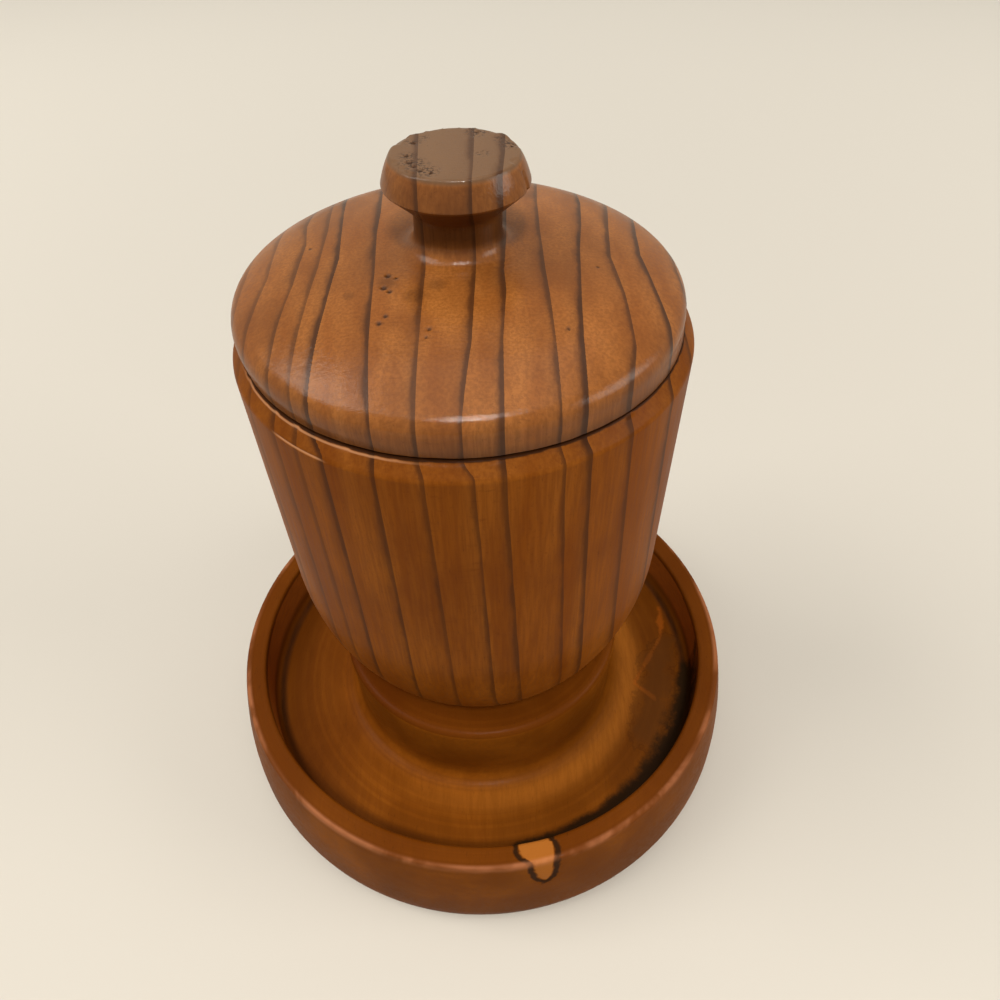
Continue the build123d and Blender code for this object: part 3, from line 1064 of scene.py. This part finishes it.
def dish_layers(points):
    """How strongly each tone and mark of the dish shows at its points, painted highlight and painted shade
    among them.
    """
    radius, angle = polar(points)
    z = points[:, 2]
    inside = (z < dish_height - 2) & (z > moat_z - 1) & (radius < rim_inner_radius + 0.5)
    # Painted highlight on the cove at the pedestal's foot, strongest towards the right
    cove = 1 - np.abs(radius - pedestal_radius - 6.3) / 6.5
    lit_right = np.clip(0.30 + 0.75 * np.cos(angle + radians(10)), 0, 1)
    # Painted shade on the ledge under the jar's overhang and on the left of the moat's floor; the rim top is
    # darker all round
    ledge_shade = (z > seat_z - 1.5) * (radius > tenon_radius) * (0.75 - 0.25 * np.cos(angle + radians(20)))
    left_floor_shade = 0.40 * inside * (z < moat_z + 6) * smooth(-np.cos(angle), 0.1, 0.9)
    rim_top = 0.55 * smooth(z, dish_height - 1.2, dish_height - 0.4) * (radius > rim_inner_radius - 0.5)
    wall = smooth(radius, rim_inner_radius - 2.5, rim_inner_radius - 0.6) * smooth(z, moat_z + 2, moat_z + 6)
    # Painted shade at the foot of the moat's inner wall
    foot = (1 - smooth(np.abs(radius - rim_inner_radius + 1.7), 0.3, 1.5)) * (z < moat_z + 5)
    # Rubbed outer edge of the rim, partly a painted highlight
    rim_edge = 1 - smooth(np.abs(radius - rim_outer_radius + 0.3), 0.3, 1.2)
    layers = {
        "cove_highlight": smooth(cove, 0, 1) * lit_right * inside,
        "shade_and_dark_rim": np.maximum.reduce([ledge_shade, left_floor_shade, rim_top]),
        "wall": 0.75 * inside * wall,
        "foot": inside * foot,
        "knot": knot_distance(points),
        "edge_wear_and_highlight": 0.45 * rim_edge * smooth(z, dish_height - 2.5, dish_height - 0.5),
    }
    for name, course in stains.items():
        layers[name] = np.where(inside, course_depth(points, course), no_stain)
    return layers


def turned_dish():
    """The dish base with its moat and pedestal."""
    piece, points = lathe("turned_dish", dish_outline(), dish_segments, uneven_dish)
    paint(piece, dish_layers(points))
    material = varnished("dish_varnish", dish_wood, dish_tones, dish_coat)
    finish_piece(piece, "jar", "base_dish", material)


def dress_screw():
    """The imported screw, in steel."""
    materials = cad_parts["fixing_screw"].data.materials
    materials.clear()
    materials.append(screw_steel())


def studio_floor():
    """A plain pale floor that keeps the object's shadow."""
    bpy.ops.mesh.primitive_circle_add(vertices=floor_segments, radius=floor_radius, fill_type="NGON")
    floor = bpy.context.active_object
    floor.name = "floor"
    material, nodes = new_material("floor")
    path = nodes.add("ShaderNodeLightPath")
    away = nodes.math("MULTIPLY", nodes.from_axis(), MM)
    colour = nodes.tint(floor_colour, far_floor_colour, away, floor_near_edge, floor_far_edge)
    colour = nodes.mix(path.outputs["Is Diffuse Ray"], colour, bounce_colour)
    shader = nodes.add("ShaderNodeBsdfDiffuse", {"Color": colour})
    nodes.add("ShaderNodeOutputMaterial", {"Surface": shader.outputs[0]})
    floor.data.materials.append(material)


def studio_world():
    """A soft even light, with a pale backdrop for the camera, metal and glass."""
    world = bpy.data.worlds.new("studio")
    bpy.context.scene.world = world
    world.use_nodes = True
    nodes = Nodes(world.node_tree)
    path = nodes.add("ShaderNodeLightPath")
    seen = nodes.math("MAXIMUM", path.outputs["Is Camera Ray"], path.outputs["Is Glossy Ray"])
    seen = nodes.math("MAXIMUM", seen, path.outputs["Is Transmission Ray"])
    light = nodes.add("ShaderNodeBackground", {"Color": world_colour, "Strength": world_light})
    pale = nodes.add("ShaderNodeBackground", {"Color": backdrop_colour, "Strength": 1.0})
    both = nodes.add("ShaderNodeMixShader", {0: seen, 1: light.outputs[0], 2: pale.outputs[0]})
    nodes.add("ShaderNodeOutputWorld", {"Surface": both.outputs[0]})


def area_lamp(name, place, size, watts):
    """A soft lamp that points at the middle of the jar."""
    lamp = bpy.data.lights.new(name, "AREA")
    lamp.shape = "RECTANGLE"
    lamp.size, lamp.size_y = size
    lamp.energy = watts
    lamp.color = lamp_colour
    holder = bpy.data.objects.new(name, lamp)
    bpy.context.scene.collection.objects.link(holder)
    holder.location = place
    way = lamp_target - Vector(place)
    holder.rotation_euler = way.to_track_quat("-Z", "Y").to_euler()


def lights():
    """Soft lamps in front and at both sides, and a broad one above."""
    for name, azimuth, elevation, distance, width, height, watts in lamps:
        turn, rise = radians(azimuth), radians(elevation)
        level = cos(rise) * distance
        place = (sin(turn) * level, -cos(turn) * level, lamp_base_height + sin(rise) * distance)
        area_lamp(name, place, (width, height), watts)
    area_lamp("top", top_place, (top_size, top_size), top_watts)


def camera():
    """The camera at the photograph's place and angle."""
    data = bpy.data.cameras.new("camera")
    data.lens = camera_lens
    data.sensor_width = camera_sensor
    data.clip_start = camera_near
    holder = bpy.data.objects.new("camera", data)
    bpy.context.scene.collection.objects.link(holder)
    forward = Vector((0, cos(camera_pitch), -sin(camera_pitch)))
    level_up = Vector((0, sin(camera_pitch), cos(camera_pitch)))
    level_right = Vector((1, 0, 0))
    right = cos(camera_roll) * level_right + sin(camera_roll) * level_up
    up = -sin(camera_roll) * level_right + cos(camera_roll) * level_up
    axes = Matrix((right, up, -forward)).transposed().to_4x4()
    holder.matrix_world = Matrix.Translation(camera_place) @ axes
    bpy.context.scene.camera = holder


camera()
studio_floor()
studio_world()
lights()
turned_lid()
turned_jar()
turned_dish()
dress_screw()
bpy.context.scene.view_settings.view_transform = "Standard"
